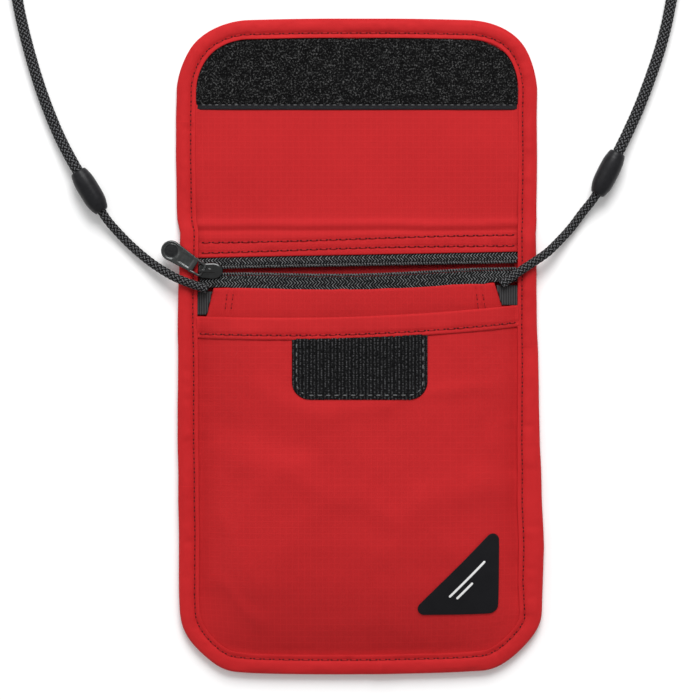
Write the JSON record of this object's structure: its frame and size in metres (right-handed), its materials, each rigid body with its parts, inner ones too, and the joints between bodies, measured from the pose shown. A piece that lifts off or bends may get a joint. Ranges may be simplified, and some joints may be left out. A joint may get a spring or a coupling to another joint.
{
  "type": "neck pouch wallet",
  "caption": "Flat fabric neck pouch with a zipped pocket, a slip pocket, a hook-and-loop flap and a braided neck cord.",
  "frame": {"origin": "middle of the flat back face, on the surface that the pouch lies on", "axes": "+Z out of the front of the pouch, +Y along its length to the flap, +X across its width, to the right as seen from the front"},
  "size_m": [0.251, 0.3128, 0.0143],
  "materials": {
    "red_nylon": "fine ripstop nylon, soft satin",
    "red_binding": "folded nylon tape with a stitched edge",
    "lining": "thin red lining over the signal-blocking layer",
    "zip_tape": "herringbone woven tape",
    "zip_coil": "moulded nylon coil",
    "slider_metal": "dark gunmetal lacquer",
    "hook_tape": "ribbed nylon hook tape",
    "loop_tape": "fuzzy nylon loop tape",
    "badge_vinyl": "smooth satin welded badge",
    "webbing": "ribbed narrow webbing",
    "cord_braid": "round braided cord",
    "ferrule_plastic": "satin moulded plastic"
  },
  "bodies": {
    "pouch": {"back_panel": "red_nylon", "rear_lining": "lining", "front_lining": "lining", "zip_pocket_panel": "red_nylon", "slip_pocket_panel": "red_nylon", "slip_pocket_hem": "red_nylon", "body_binding": "red_binding", "zip_facing": "red_nylon", "upper_zip_tape": "zip_tape", "upper_zip_coil": "zip_coil", "lower_zip_tape": "zip_tape", "lower_zip_coil": "zip_coil", "hook_patch": "hook_tape", "corner_badge": "badge_vinyl", "cord_tab_left": "webbing", "cord_tab_right": "webbing", "end_cord_left": "cord_braid", "end_cord_right": "cord_braid", "ferrule_left": "ferrule_plastic", "ferrule_right": "ferrule_plastic", "neck_cord_left": "cord_braid", "neck_cord_right": "cord_braid", "neck_cord_coil": "cord_braid"},
    "flap": {"flap_panel": "red_nylon", "flap_facing": "red_nylon", "flap_loop_strip": "loop_tape", "flap_binding": "red_binding"},
    "slider": {"zip_slider": "slider_metal"},
    "puller": {"zip_puller": "slider_metal"}
  },
  "joints": [
    {"name": "flap_fold", "type": "hinge", "parent": "pouch", "child": "flap", "pos_m": [0, 0.044, 0.005], "axis": [1, 0, 0], "range_deg": [0, 166]},
    {"name": "zip_slide", "type": "slide", "parent": "pouch", "child": "slider", "axis": [0.9998, 0.0192, 0], "range_m": [0, 0.106], "deforming": ["lower_zip_tape", "lower_zip_coil"]},
    {"name": "puller_turn", "type": "hinge", "parent": "slider", "child": "puller", "pos_m": [-0.05799, 0.02789, 0.00475], "axis": [0.5432, 0.8396, 0], "range_deg": [0, 155]}
  ]
}
